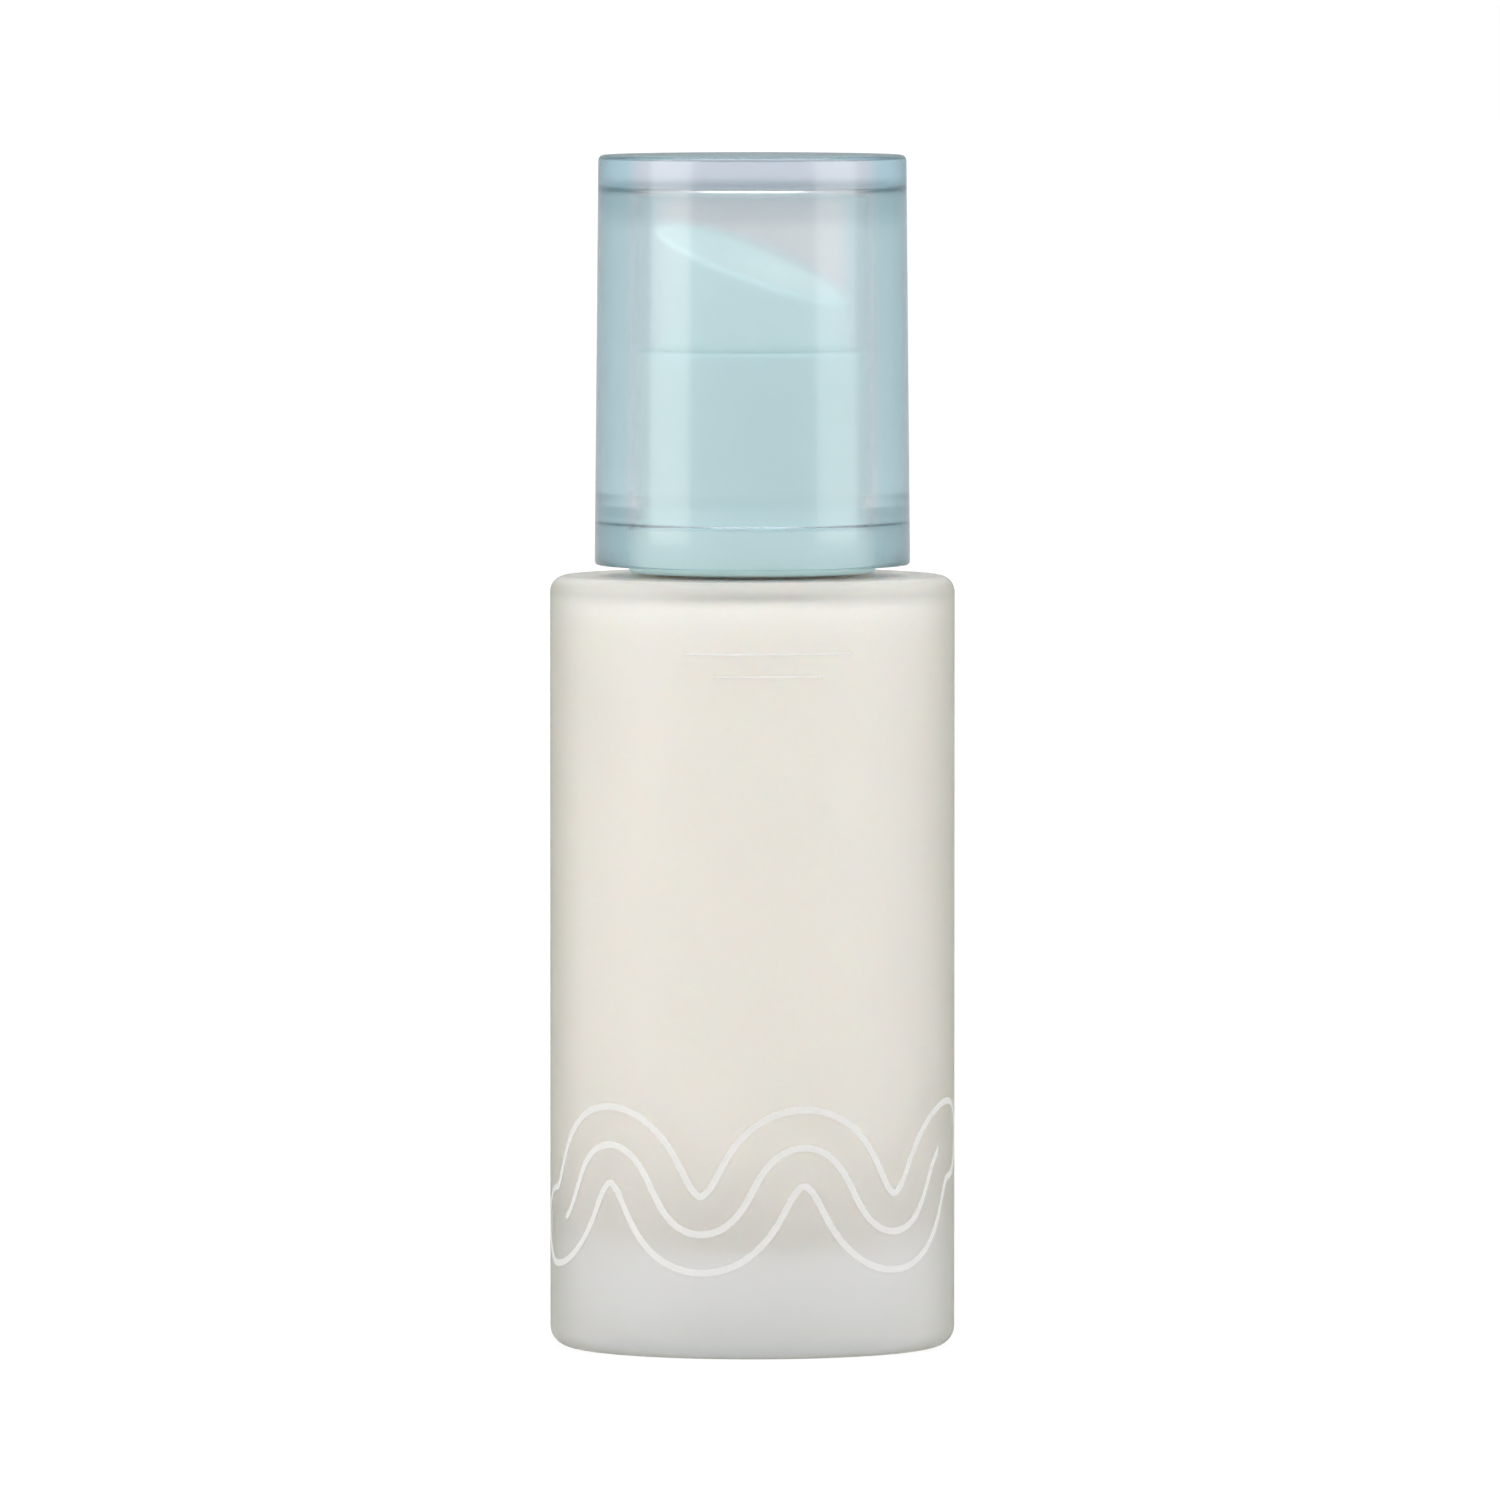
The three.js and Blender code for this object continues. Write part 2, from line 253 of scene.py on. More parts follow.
# fine grain for bump and a broad tone for colour and gloss
def grainGroup():
    inputs = {"Scale": 3000.0, "Broad Scale": 120.0}
    tree, given, out = startGroup("surfaceGrain", inputs, ("Height", "Tone"))
    place = tree.nodes.new("ShaderNodeTexCoord")
    for title, result in (("Scale", "Height"), ("Broad Scale", "Tone")):
        noise = node(tree, "ShaderNodeTexNoise", Detail=3.0, Roughness=0.55)
        tree.links.new(place.outputs["Object"], noise.inputs["Vector"])
        tree.links.new(given.outputs[title], noise.inputs["Scale"])
        tree.links.new(noise.outputs["Fac"], out.inputs[result])
    return tree


# hairline rubs from handling, in three directions
def rubsGroup():
    tree, given, out = startGroup("handlingRubs", {"Scale": 260.0, "Amount": 0.5}, ("Mask",))
    place = tree.nodes.new("ShaderNodeTexCoord")
    patches = node(tree, "ShaderNodeTexNoise", Scale=55.0, Detail=2.0)
    tree.links.new(place.outputs["Object"], patches.inputs["Vector"])
    total = None
    for tilt, turn in ((0.3, 0.2), (1.1, 1.4), (2.2, 2.5)):
        stretch = node(tree, "ShaderNodeMapping", vector_type="TEXTURE")
        stretch.inputs["Rotation"].default_value = (tilt, turn, tilt * turn)
        stretch.inputs["Scale"].default_value = (1.0, 1.0, 30.0)
        tree.links.new(place.outputs["Object"], stretch.inputs["Vector"])
        lines = node(tree, "ShaderNodeTexNoise", Detail=4.0, Roughness=0.7)
        tree.links.new(stretch.outputs["Vector"], lines.inputs["Vector"])
        tree.links.new(given.outputs["Scale"], lines.inputs["Scale"])
        mask = mapRange(tree, lines.outputs["Fac"], 0.64, 0.70)
        total = mask if total is None else maths(tree, "MAXIMUM", total, mask)
    worn = maths(tree, "MULTIPLY", total, mapRange(tree, patches.outputs["Fac"], 0.45, 0.65))
    tree.links.new(maths(tree, "MULTIPLY", worn, given.outputs["Amount"]), out.inputs["Mask"])
    return tree


# a little dust that settles on what faces up
def dustGroup():
    tree, given, out = startGroup("settledDust", {"Scale": 900.0, "Amount": 0.5}, ("Mask",))
    place = tree.nodes.new("ShaderNodeTexCoord")
    specks = node(tree, "ShaderNodeTexVoronoi", Randomness=1.0)
    tree.links.new(place.outputs["Object"], specks.inputs["Vector"])
    tree.links.new(given.outputs["Scale"], specks.inputs["Scale"])
    small = mapRange(tree, specks.outputs["Distance"], 0.16, 0.08)
    facing = tree.nodes.new("ShaderNodeNewGeometry")
    split = tree.nodes.new("ShaderNodeSeparateXYZ")
    tree.links.new(facing.outputs["Normal"], split.inputs[0])
    upward = mapRange(tree, split.outputs["Z"], 0.5, 0.95)
    resting = maths(tree, "MULTIPLY", small, upward)
    tree.links.new(maths(tree, "MULTIPLY", resting, given.outputs["Amount"]), out.inputs["Mask"])
    return tree


# paler colour on sharp convex edges
def rimGroup():
    tree, given, out = startGroup("palerSharpEdges", {"Amount": 0.5}, ("Mask",))
    shape = tree.nodes.new("ShaderNodeNewGeometry")
    rim = mapRange(tree, shape.outputs["Pointiness"], 0.52, 0.60)
    tree.links.new(maths(tree, "MULTIPLY", rim, given.outputs["Amount"]), out.inputs["Mask"])
    return tree


groups = {"grain": grainGroup(), "rubs": rubsGroup(), "dust": dustGroup(), "rims": rimGroup()}


def placeGroup(tree, which, **values):
    made = tree.nodes.new("ShaderNodeGroup")
    made.node_tree = groups[which]
    for title, value in values.items():
        made.inputs[title.replace("_", " ")].default_value = value
    return made


def startMaterial(name, **uniform):
    made = bpy.data.materials.new(name)
    made.use_nodes = True
    shader = made.node_tree.nodes["Principled BSDF"]
    for title, value in uniform.items():
        setInput(shader, title.replace("_", " "), value)
    return made, made.node_tree, shader


def mixColors(tree, factor, first, second):
    made = tree.nodes.new("ShaderNodeMix")
    made.data_type = "RGBA"
    tree.links.new(factor, made.inputs["Factor"])
    for socket, value in ((made.inputs["A"], first), (made.inputs["B"], second)):
        if isinstance(value, tuple):
            socket.default_value = (*value, 1.0)
        else:
            tree.links.new(value, socket)
    return made.outputs["Result"]


def addBump(tree, shader, height, strength, distance):
    bump = node(tree, "ShaderNodeBump", Strength=strength, Distance=distance)
    tree.links.new(height, bump.inputs["Height"])
    tree.links.new(bump.outputs["Normal"], shader.inputs["Normal"])


clearIor = 1.5  # glass and clear plastic alike

frostValues = {
    "tint": (0.945, 0.935, 0.915),
    "tintLow": (0.93, 0.92, 0.898),
    "edge": (0.56, 0.57, 0.50),  # painted shade: darker where the wall is seen on the slant
    "shadedEdgeRange": (0.35, 0.90),
    "topRange": (0.4, 0.95),  # no painted edge shade on the flat shoulder
    "rough": (0.40, 0.50),
    "clearness": 0.84,  # transmission; the rest is the etched skin
}


def frostedGlassFinish():
    f = frostValues
    made, tree, shader = startMaterial("frostedGlass", Transmission_Weight=f["clearness"], IOR=clearIor)
    grain = placeGroup(tree, "grain", Scale=9000.0, Broad_Scale=90.0)
    face = mixColors(tree, grain.outputs["Tone"], f["tintLow"], f["tint"])
    # painted shade: the colour darkens toward the edge colour where the wall is seen on the slant
    glance = node(tree, "ShaderNodeLayerWeight", Blend=0.5)
    grazingShadeMask = mapRange(tree, glance.outputs["Facing"], *f["shadedEdgeRange"])
    shape = tree.nodes.new("ShaderNodeNewGeometry")
    split = tree.nodes.new("ShaderNodeSeparateXYZ")
    tree.links.new(shape.outputs["Normal"], split.inputs[0])
    upright = mapRange(tree, split.outputs["Z"], *f["topRange"], 1.0, 0.0)
    paintedEdgeShade = maths(tree, "MULTIPLY", grazingShadeMask, upright)
    tree.links.new(mixColors(tree, paintedEdgeShade, face, f["edge"]), shader.inputs["Base Color"])
    rough = mapRange(tree, grain.outputs["Tone"], 0.3, 0.7, *f["rough"])
    rubs = placeGroup(tree, "rubs", Scale=300.0, Amount=0.12)
    tree.links.new(maths(tree, "SUBTRACT", rough, rubs.outputs["Mask"]), shader.inputs["Roughness"])
    addBump(tree, shader, grain.outputs["Height"], 0.25, 0.02 * mm)
    return made


def polishedGlassFinish():
    made, tree, shader = startMaterial("polishedGlass", Transmission_Weight=1.0, IOR=clearIor)
    grain = placeGroup(tree, "grain", Scale=700.0, Broad_Scale=60.0)
    color = mixColors(tree, grain.outputs["Tone"], (0.93, 0.945, 0.93), (0.96, 0.965, 0.955))
    tree.links.new(color, shader.inputs["Base Color"])
    rough = mapRange(tree, grain.outputs["Tone"], 0.3, 0.7, 0.05, 0.09)
    tree.links.new(rough, shader.inputs["Roughness"])
    addBump(tree, shader, grain.outputs["Height"], 0.15, 0.05 * mm)
    return made


creamValues = {
    "light": (0.95, 0.908, 0.852),
    "deep": (0.935, 0.888, 0.83),
    "rough": (0.30, 0.42),
    "scatter": 0.6,  # how much of the light travels inside
    "scatterScale": 0.006,
    "scatterReach": (1.0, 0.7, 0.5),
    "ior": 1.42,
}


def creamFinish():
    c = creamValues
    made, tree, shader = startMaterial("creamFoundation", IOR=c["ior"])
    setInput(shader, "Subsurface Weight", c["scatter"])
    setInput(shader, "Subsurface Scale", c["scatterScale"])
    setInput(shader, "Subsurface Radius", c["scatterReach"])
    grain = placeGroup(tree, "grain", Scale=420.0, Broad_Scale=70.0)
    color = mixColors(tree, grain.outputs["Tone"], c["deep"], c["light"])
    tree.links.new(color, shader.inputs["Base Color"])
    rough = mapRange(tree, grain.outputs["Height"], 0.3, 0.7, *c["rough"])
    tree.links.new(rough, shader.inputs["Roughness"])
    addBump(tree, shader, grain.outputs["Height"], 0.2, 0.05 * mm)
    return made


capValues = {
    "clear": (0.985, 0.99, 0.995),
    "cloudy": (0.965, 0.98, 0.985),
    "edge": (0.52, 0.88, 0.93),  # painted teal shade where the thick wall is seen on the slant
    "shadedEdgeRange": (0.28, 0.46),
    "haze": 0.955,  # transmission; the rest is a milky veil
    "rough": 0.17,
    "wornRough": 0.32,
    "absorb": (0.50, 0.64, 0.84),
    "density": 24.0,
}


def clearAquaFinish():
    c = capValues
    made, tree, shader = startMaterial("clearAquaPlastic", Transmission_Weight=c["haze"], IOR=clearIor)
    grain = placeGroup(tree, "grain", Scale=500.0, Broad_Scale=80.0)
    rubs = placeGroup(tree, "rubs", Scale=320.0, Amount=0.35)
    dust = placeGroup(tree, "dust", Scale=700.0, Amount=0.3)
    face = mixColors(tree, grain.outputs["Tone"], c["cloudy"], c["clear"])
    # painted shade: the colour turns deep teal where the wall is seen on the slant
    glance = node(tree, "ShaderNodeLayerWeight", Blend=0.5)
    grazingShadeMask = mapRange(tree, glance.outputs["Facing"], *c["shadedEdgeRange"])
    tree.links.new(mixColors(tree, grazingShadeMask, face, c["edge"]), shader.inputs["Base Color"])
    marks = maths(tree, "MAXIMUM", rubs.outputs["Mask"], dust.outputs["Mask"])
    rough = mapRange(tree, marks, 0.0, 1.0, c["rough"], c["wornRough"])
    tree.links.new(rough, shader.inputs["Roughness"])
    addBump(tree, shader, grain.outputs["Height"], 0.06, 0.05 * mm)
    inside = node(tree, "ShaderNodeVolumeAbsorption", Density=c["density"])
    inside.inputs["Color"].default_value = (*c["absorb"], 1.0)
    tree.links.new(inside.outputs[0], tree.nodes["Material Output"].inputs["Volume"])
    return made


def mouldedFinish(name, light, deep, rough, grainScale=2600.0, bump=0.12, rim=0.4):
    made, tree, shader = startMaterial(name)
    grain = placeGroup(tree, "grain", Scale=grainScale, Broad_Scale=110.0)
    rubs = placeGroup(tree, "rubs", Scale=380.0, Amount=0.3)
    rims = placeGroup(tree, "rims", Amount=rim)
    body = mixColors(tree, grain.outputs["Tone"], deep, light)
    paler = tuple(c + (1 - c) * 0.35 for c in light)
    tree.links.new(mixColors(tree, rims.outputs["Mask"], body, paler), shader.inputs["Base Color"])
    base = mapRange(tree, grain.outputs["Tone"], 0.3, 0.7, *rough)
    worn = maths(tree, "MULTIPLY", rubs.outputs["Mask"], 0.5)
    tree.links.new(maths(tree, "ADD", base, worn), shader.inputs["Roughness"])
    addBump(tree, shader, grain.outputs["Height"], bump, 0.03 * mm)
    return made


def steelFinish(name, rough):
    made, tree, shader = startMaterial(name, Metallic=1.0)
    grain = placeGroup(tree, "grain", Scale=6000.0, Broad_Scale=300.0)
    color = mixColors(tree, grain.outputs["Tone"], (0.50, 0.51, 0.53), (0.68, 0.69, 0.71))
    tree.links.new(color, shader.inputs["Base Color"])
    tree.links.new(mapRange(tree, grain.outputs["Height"], 0.3, 0.7, *rough), shader.inputs["Roughness"])
    addBump(tree, shader, grain.outputs["Height"], 0.2, 0.01 * mm)
    return made


def inkFinish():
    made, tree, shader = startMaterial("whiteInk", Alpha=0.62)
    grain = placeGroup(tree, "grain", Scale=5200.0, Broad_Scale=420.0)
    color = mixColors(tree, grain.outputs["Tone"], (0.80, 0.795, 0.78), (0.86, 0.855, 0.84))
    tree.links.new(color, shader.inputs["Base Color"])
    tree.links.new(mapRange(tree, grain.outputs["Tone"], 0.3, 0.7, 0.42, 0.55), shader.inputs["Roughness"])
    addBump(tree, shader, grain.outputs["Height"], 0.3, 0.01 * mm)
    return made


moulded = {
    # finish: (name, light tone, deep tone, roughness)
    "aqua": ("aquaPolypropylene", (0.705, 0.89, 0.875), (0.665, 0.865, 0.855), (0.30, 0.40)),
    "natural": ("naturalPolypropylene", (0.88, 0.90, 0.89), (0.82, 0.85, 0.84), (0.35, 0.5)),
    "soft": ("softPolyethylene", (0.90, 0.90, 0.88), (0.85, 0.85, 0.83), (0.5, 0.65)),
}
foam = ("foamSheet", (0.90, 0.89, 0.86), (0.80, 0.79, 0.76), (0.8, 0.95))

finishes = {
    "frosted": frostedGlassFinish(),
    "polished": polishedGlassFinish(),
    "cream": creamFinish(),
    "clearAqua": clearAquaFinish(),
    **{look: mouldedFinish(*values) for look, values in moulded.items()},
    "foam": mouldedFinish(*foam, grainScale=4200.0, bump=0.8, rim=0.0),
    "wire": steelFinish("springWire", (0.25, 0.4)),
    "ball": steelFinish("polishedBall", (0.06, 0.12)),
    "ink": inkFinish(),
}
print("finishes made:", len(finishes))


def finish(piece, body, slot, *names, replaces=None):
    for name in names:
        piece.data.materials.append(finishes[name])
    if replaces:
        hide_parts(replaces)
    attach(piece, body)
    return piece


glass = {
    "radius": radiusOf("glass_bottle"),
    "shoulder": 64.8,
    "wall": 2.6,
    "base": 8.4,
    "heel": 1.7,
    "edge": 1.35,
    "floorRound": 8.5,
    "ceilingRound": 1.8,
    "ceilingGap": 1.5,
    "neck": 6.55,
    "bore": 4.7,
    "foot": 12.2,  # the ring it stands on
    "punt": 8.5,
    "puntDepth": 0.75,
    "ridge": 0.7,  # height of the thread
    "ridgeTurns": 1.5,
    "pitch": 3.175,
    "threadBelowRim": 7.1,
}
neckTop = highOf("glass_bottle")
cavityRadius = glass["radius"] - glass["wall"]
cavityTop = glass["shoulder"] - glass["ceilingGap"]
threadStart = neckTop - glass["threadBelowRim"]


def makeGlassBody():
    g = glass
    corners = [
        (0, g["puntDepth"]),
        (g["punt"], g["puntDepth"] - 0.1, 2.0),
        (g["foot"], 0, 0.5),
        (g["radius"], 0, g["heel"]),
        (g["radius"], g["shoulder"], g["edge"]),
        (g["neck"], g["shoulder"], 0.7),
        (g["neck"], neckTop, 0.5),
        (g["bore"], neckTop, 0.3),
        (g["bore"], cavityTop, 0.6),
        (cavityRadius, cavityTop, g["ceilingRound"]),
        (cavityRadius, g["base"], g["floorRound"]),
        (0, g["base"]),
    ]
    relief = screwRidge(g["neck"], g["ridge"], 0.5, 0.833, threadStart, g["ridgeTurns"], g["pitch"])
    piece = turnedPiece("glass_body", corners, 180, relief=relief, fineStep=0.4)
    finish(piece, "bottle", "frosted_glass", "frosted", "polished", replaces="glass_bottle")
    # the cavity, the bore and the neck are left polished
    for face in piece.data.polygons:
        r, z = math.hypot(face.center.x, face.center.y) / mm, face.center.z / mm
        inCavity = r < cavityRadius + 0.05 and g["base"] - 0.05 < z < cavityTop + 0.05
        inBore = r < g["bore"] + 0.35 and z > cavityTop - 1
        onNeck = r < g["neck"] + g["ridge"] + 0.05 and z > g["shoulder"] + 0.6
        if inCavity or inBore or onNeck:
            face.material_index = 1


fill = {
    "wet": 0.03,  # it runs this far into the wall and ceiling, so that it wets the glass
    "dip": 0.12,  # how far its surface is drawn down at the well
    "well": 4.9,  # radius of the well that the pump stands in
    "taperTop": 60.2,
    "taperFoot": 56.1,
    "wellSpigot": 2.8,
    "wellFloor": 47.6,
    "tubeGap": 0.3,
    "tubeFoot": 9.4,
}


def makeFill():
    wet, well = fill["wet"], fill["well"]
    surface = highOf("foundation_fill") - fill["dip"]
    tubeHole = radiusOf("dip_tube") + fill["tubeGap"]
    corners = [
        (0, glass["base"] - wet),
        (cavityRadius + wet, glass["base"] - wet, glass["floorRound"] + wet),
        (cavityRadius + wet, cavityTop + wet, glass["ceilingRound"] + wet),
        (glass["bore"] + 1.1, cavityTop + wet, 0.15),
        (well, surface, 0.15),
        (well - 0.2, fill["taperTop"], 0.4),
        (fill["wellSpigot"], fill["taperFoot"], 0.4),
        (fill["wellSpigot"], fill["wellFloor"], 0.3),
        (tubeHole, fill["wellFloor"], 0.2),
        (tubeHole, fill["tubeFoot"], 0.2),
        (0, fill["tubeFoot"]),
    ]
    piece = turnedPiece("foundation", corners, 144, fineStep=2.0)
    return finish(piece, "bottle", "foundation", "cream", replaces="foundation_fill")


makeGlassBody()
makeFill()
print("glass body and foundation made")


wave = {
    "middle": 14.1,  # height of the ribbon's middle line
    "length": 24.0,  # along the ribbon, for one full wave
    "swing": math.radians(62),  # steepest lean of the ribbon
    "waves": 2.5,
    "halfWidth": 3.2,
    "line": 0.58,
    "thickness": 0.035,
    "keyed": 0.03,  # how deep the ink bites into the frost
    "topShare": 0.94,
    "step": 0.3,
    "veinGap": 8,  # steps that the middle line stops short of each end
}


def meander(step):
    # the direction swings as a sine along the ribbon, like a river
    total = wave["length"] * wave["waves"]
    count = round(total / step)
    points = [Vector((0, 0))]
    for k in range(count):
        along = (k + 0.5) / count * wave["waves"]
        lean = wave["swing"] * math.cos(2 * math.pi * (along - wave["waves"] / 2))
        points.append(points[-1] + Vector((math.cos(lean), math.sin(lean))) * (total / count))
    middle = (points[0] + points[-1]) / 2
    return [p - middle for p in points]


def sideOf(points, offset):
    moved = []
    for k, point in enumerate(points):
        along = (points[min(k + 1, len(points) - 1)] - points[max(k - 1, 0)]).normalized()
        moved.append(point + Vector((-along.y, along.x)) * offset)
    return moved


def roundEnd(points, halfWidth, steps=14):
    along = (points[-1] - points[-2]).normalized()
    across = Vector((-along.y, along.x))
    turns = [math.pi * k / steps for k in range(1, steps)]
    return [points[-1] + (across * math.cos(t) + along * math.sin(t)) * halfWidth for t in turns]


def ribbonLoop(points, halfWidth):
    back = list(reversed(points))
    upper = sideOf(points, halfWidth)
    lower = list(reversed(sideOf(points, -halfWidth)))
    return upper + roundEnd(points, halfWidth) + lower + roundEnd(back, halfWidth)


def onGlass(point, height, lift):
    angle = -math.pi / 2 + point.x / glass["radius"]
    radius = glass["radius"] + lift
    return (radius * math.cos(angle) * mm, radius * math.sin(angle) * mm, (height + point.y) * mm)


def printedLine(name, loop, width, height, closed=True):
    count = len(loop)
    vertices = []
    for k, point in enumerate(loop):
        before = loop[k - 1] if closed or k else loop[0]
        after = loop[(k + 1) % count] if closed or k < count - 1 else loop[-1]
        along = (after - before).normalized()
        across = Vector((-along.y, along.x)) * width / 2
        narrow = across * wave["topShare"]
        for spot in (point - across, point + across):
            vertices.append(onGlass(spot, height, -wave["keyed"]))
        for spot in (point + narrow, point - narrow):
            vertices.append(onGlass(spot, height, wave["thickness"]))
    faces = []
    for k in range(count if closed else count - 1):
        a, b = 4 * k, 4 * ((k + 1) % count)
        faces += [(a + i, a + (i + 1) % 4, b + (i + 1) % 4, b + i) for i in range(4)]
    if not closed:
        faces += [(0, 1, 2, 3), tuple(4 * count - 4 + i for i in range(4))]
    return meshPiece(name, vertices, faces)


def makeWave():
    middle = meander(wave["step"])
    loop = ribbonLoop(middle, wave["halfWidth"])
    ribbon = printedLine("printed_ribbon", loop, wave["line"], wave["middle"])
    finish(ribbon, "bottle", None, "ink")
    inner = middle[wave["veinGap"]:-wave["veinGap"]]
    vein = printedLine("printed_vein", inner, wave["line"], wave["middle"], closed=False)
    finish(vein, "bottle", None, "ink")


rules = {"heights": (58.9, 57.0), "halfLengths": (7.4, 4.6), "shift": 1.4, "line": 0.16}


def makeRules():
    for k, (height, half) in enumerate(zip(rules["heights"], rules["halfLengths"])):
        points = [Vector((rules["shift"] + x * half / 20, 0)) for x in range(-20, 21)]
        piece = printedLine(f"printed_rule_{k + 1}", points, rules["line"], height, closed=False)
        finish(piece, "bottle", None, "ink")


makeWave()
makeRules()
print("decoration printed")


cap = {
    "foot": lowOf("overcap"),
    "top": highOf("overcap"),
    "radius": radiusOf("overcap"),
    "topRadius": 12.93,
    "bore": 10.05,
    "seat": 10.6,
    "step": 69.2,
    "ceiling": 2.75,
    "edge": 0.45,
    "bead": 0.22,  # the snap bead inside
    "beadAbove": 1.5,
}


def makeOvercap():
    c = cap
    ceiling = c["top"] - c["ceiling"]
    bead = c["step"] + c["beadAbove"]
    corners = [
        (0, ceiling),
        (c["bore"] - 0.1, ceiling, 0.7),
        (c["bore"], bead + 1.0, 0.3),
        (c["bore"] - c["bead"], bead, 0.5),
        (c["bore"], bead - 1.0, 0.3),
        (c["bore"], c["step"], 0.12),
        (c["seat"], c["step"], 0.15),
        (c["seat"] + 0.15, c["foot"], 0.25),
        (c["radius"], c["foot"], 0.3),
        (c["topRadius"], c["top"], c["edge"]),
        (0, c["top"]),
    ]
    piece = turnedPiece("overcap_shell", corners, 192, fineStep=3.0)
    return finish(piece, "overcap", "clear_aqua", "clearAqua", replaces="overcap")


makeOvercap()
print("overcap made")


collar = {
    "foot": lowOf("collar_sleeve"),
    "top": highOf("collar_sleeve"),
    "radius": 9.7,
    "footRadius": radiusOf("collar_sleeve"),
    "footTop": 69.0,
    "inside": 8.95,
    "mouth": 8.45,
    "lip": 0.8,  # depth of the narrower mouth
}


def makeCollar():
    c = collar
    corners = [
        (c["inside"], c["foot"], 0.1),
        (c["footRadius"], c["foot"], 0.3),
        (c["footRadius"], c["footTop"], 0.3),
        (c["radius"], c["footTop"], 0.25),
        (c["radius"], c["top"], 0.45),
        (c["mouth"], c["top"], 0.2),
        (c["mouth"], c["top"] - c["lip"], 0.1),
        (c["inside"], c["top"] - c["lip"] - 0.5, 0.1),
    ]
    piece = turnedPiece("collar_shell", corners, 144, closed=True, fineStep=3.0)
    return finish(piece, "closure", "aqua_plastic", "aqua", replaces="collar_sleeve")


closure = {"bore": 7.5, "hole": 4.1, "topThickness": 1.0, "ridge": 0.7, "ridgeTurns": 1.25}


def makeClosure():
    c = closure
    foot, top = lowOf("screw_closure"), highOf("screw_closure")
    bore, outer = c["bore"], radiusOf("screw_closure")
    underTop = top - c["topThickness"]
    start = threadStart - glass["pitch"] / 2
    corners = [
        (bore, foot, 0.15),
        (outer, foot, 0.3),
        (outer, top, 0.5),
        (c["hole"], top, 0.15),
        (c["hole"], underTop, 0.15),
        (bore, underTop, 0.2),
    ]
    relief = screwRidge(bore, c["ridge"], 0.4, 0.785, start, c["ridgeTurns"], glass["pitch"], inward=True)
    piece = turnedPiece("closure_shell", corners, 144, closed=True, relief=relief, fineStep=0.4)
    return finish(piece, "closure", "natural_plastic", "natural", replaces="screw_closure")


makeCollar()
makeClosure()
print("collar and closure made")


button = {
    "foot": lowOf("button_shell"),
    "radius": radiusOf("button_shell"),
    "wall": 1.0,
    "crown": 91.25,  # height of the slanted top on the axis
    "crownThickness": 1.3,
    "slope": 0.425,
    "bearing": math.radians(155),
    "edge": 0.55,
    "dish": 0.35,
    "dishRings": 14,
    "nozzleHeight": 88.8,
    "nozzleHole": 1.55,
    "nozzle": 1.45,
    "mouth": 0.6,  # radius of the outlet
    "mouthFlare": 0.85,
    "proud": 0.5,  # how far the tip stands out
}


def crownOutline():
    b = button
    inner = b["radius"] - b["wall"]
    under = b["crown"] - b["crownThickness"] - 0.1
    corners = [
        (inner, b["foot"], 0.1),
        (b["radius"], b["foot"], 0.2),
        (b["radius"], b["crown"], b["edge"], 1.0),
    ]
    for k in range(1, b["dishRings"] + 1):
        share = 1 - k / b["dishRings"]
        depth = b["dish"] * (1 - share * share) ** 2
        corners.append(((b["radius"] - 1.0) * share, b["crown"] - depth, 0.0, 1.0))
    return corners + [(0, under, 0.0, 1.0), (inner, under, 0.3, 1.0)]


def crownLean(angle, radius):
    return button["slope"] * radius * math.cos(angle - button["bearing"])


def barAlongNozzle(name, corners, sides=48):
    # a turned bar laid along the nozzle's direction; a corner's height is the distance from the axis
    bar = turnedPiece(name, corners, sides)
    spin = button["bearing"]
    for vertex in bar.data.vertices:
        x, y, z = vertex.co
        out = z
        side = y
        vertex.co = (
            out * math.cos(spin) - side * math.sin(spin),
            out * math.sin(spin) + side * math.cos(spin),
            button["nozzleHeight"] * mm - x,
        )
    facesOutward(bar.data)
    return bar


def makeButton():
    b = button
    shell = turnedPiece("button_cover", crownOutline(), 144, closed=True, lean=crownLean)
    drill = b["nozzleHole"]
    hole = barAlongNozzle("nozzle_hole", [(0, 5), (drill, 5), (drill, 10), (0, 10)])
    cutFrom(shell, hole)
    finish(shell, "button", "aqua_plastic", "aqua", replaces="button_shell")
    reach = b["radius"] + b["proud"]
    mouthFloor, back = 7.6, 6.4  # both from the button's axis
    corners = [
        (0, mouthFloor),
        (b["mouth"], mouthFloor, 0.05),
        (b["mouth"], reach - 0.25, 0.1),
        (b["mouthFlare"], reach, 0.1),
        (b["nozzle"], reach, 0.25),
        (b["nozzle"], back, 0.1),
        (0, back),
    ]
    insert = barAlongNozzle("nozzle_tip", corners)
    finish(insert, "button", "natural_plastic", "natural", replaces="nozzle_insert")


makeButton()
print("button made")


pump = {
    "barrelBore": 3.3,
    "barrel": 4.3,
    "barrelFoot": 60.4,
    "flange": 6.4,
    "spigot": 2.4,
    "spigotTop": 56.3,
    "spigotBore": 1.55,
    "cage": 3.2,
    "cageBore": 1.75,
    "springSeat": 60.7,
    "stem": 1.85,
    "stemBore": 1.0,
    "guideBore": 1.95,
    "shoulder": 2.55,
    "seatHole": 0.9,
    "seatHeight": 57.35,
    "stroke": 3.5,
    "wire": 0.27,
    "coil": 2.4,
    "turns": 6.5,
    "closedPitch": 0.62,
    "tubeSlant": math.tan(math.radians(40)),
}


